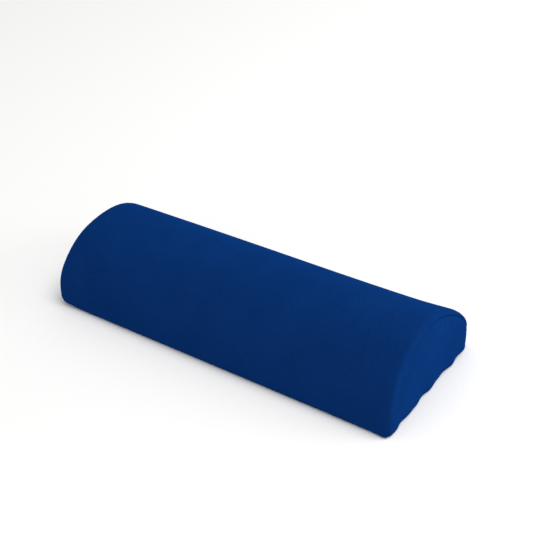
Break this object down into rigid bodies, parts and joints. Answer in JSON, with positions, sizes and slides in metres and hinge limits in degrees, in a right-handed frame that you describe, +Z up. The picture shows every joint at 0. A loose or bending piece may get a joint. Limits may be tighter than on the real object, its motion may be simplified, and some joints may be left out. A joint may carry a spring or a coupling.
{
  "type": "half-round bolster pillow",
  "caption": "Half-round bolster pillow with a moulded foam core in a sewn blue fabric cover that closes with a zip along the lower back.",
  "frame": {"origin": "middle of the flat underside, on the surface that the bolster rests on", "axes": "+X along the bolster to the end panel on the right, +Y to the back where the zip is, +Z up"},
  "size_m": [0.554, 0.2035, 0.104],
  "materials": {
    "cover_fabric": "matte brushed knit",
    "foam": "open-cell moulded foam with a smooth skin",
    "thread": "spun polyester thread",
    "zip_tape": "woven herringbone tape",
    "zip_coil": "nylon coil",
    "zip_metal": "nickel-plated zinc"
  },
  "bodies": {
    "bolster": {"foam_core": "foam", "top_panel": "cover_fabric", "base_panel": "cover_fabric", "left_end_panel": "cover_fabric", "right_end_panel": "cover_fabric", "left_end_seam_thread": "thread", "right_end_seam_thread": "thread", "front_seam_thread": "thread", "rear_seam_thread": "thread", "zip_upper_stitching": "thread", "zip_lower_stitching": "thread", "zip_upper_tape": "zip_tape", "zip_lower_tape": "zip_tape", "zip_upper_coil": "zip_coil", "zip_lower_coil": "zip_coil", "zip_top_stops": "zip_metal", "zip_bottom_stop": "zip_metal"},
    "slider": {"zip_slider": "zip_metal"},
    "pull": {"zip_pull": "zip_metal"}
  },
  "joints": [
    {"name": "zip_slide", "type": "slide", "parent": "bolster", "child": "slider", "axis": [1, 0, 0], "range_m": [0, 0.4606]},
    {"name": "pull_hinge", "type": "hinge", "parent": "slider", "child": "pull", "pos_m": [-0.2303, 0.10119, 0.02184], "axis": [0, -0.1736, 0.9848], "range_deg": [0, 175]}
  ]
}
